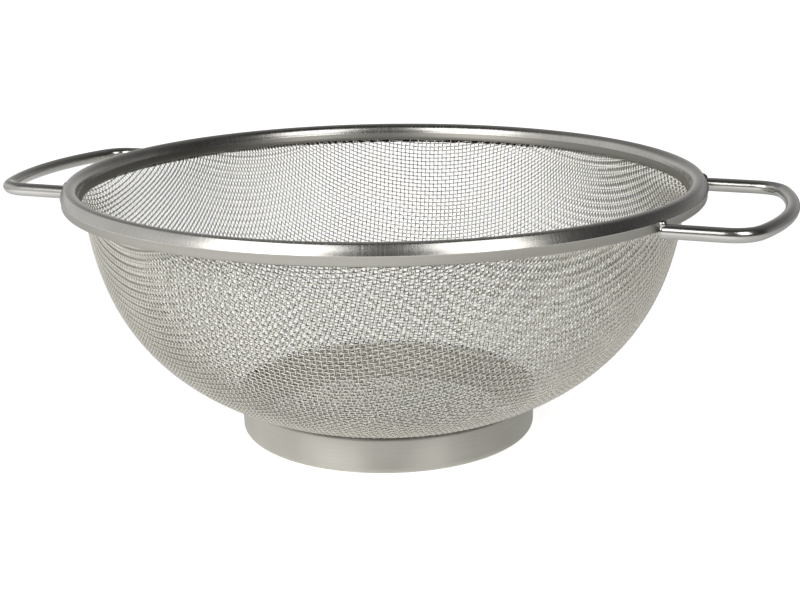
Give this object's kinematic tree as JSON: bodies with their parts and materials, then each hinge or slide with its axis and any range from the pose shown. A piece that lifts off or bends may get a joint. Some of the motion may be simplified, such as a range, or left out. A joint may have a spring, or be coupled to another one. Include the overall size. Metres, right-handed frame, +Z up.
{
  "type": "footed sieve",
  "caption": "Round sieve bowl of woven steel wire in a rolled rim, with wire loop handles on opposite sides and a low ring foot to stand on.",
  "frame": {"origin": "on the floor under the middle of the foot ring", "axes": "+X from the middle out through the right handle, +Y away from the front, +Z up through the open mouth"},
  "size_m": [0.3036, 0.24, 0.1],
  "materials": {
    "cloth_steel": "bright drawn wire",
    "rim_steel": "polished",
    "wire_steel": "polished",
    "foot_steel": "satin"
  },
  "bodies": {
    "root": {"mesh_bowl": "cloth_steel", "rim": "rim_steel", "handle_right": "wire_steel", "handle_left": "wire_steel", "foot_ring": "foot_steel"}
  },
  "joints": []
}
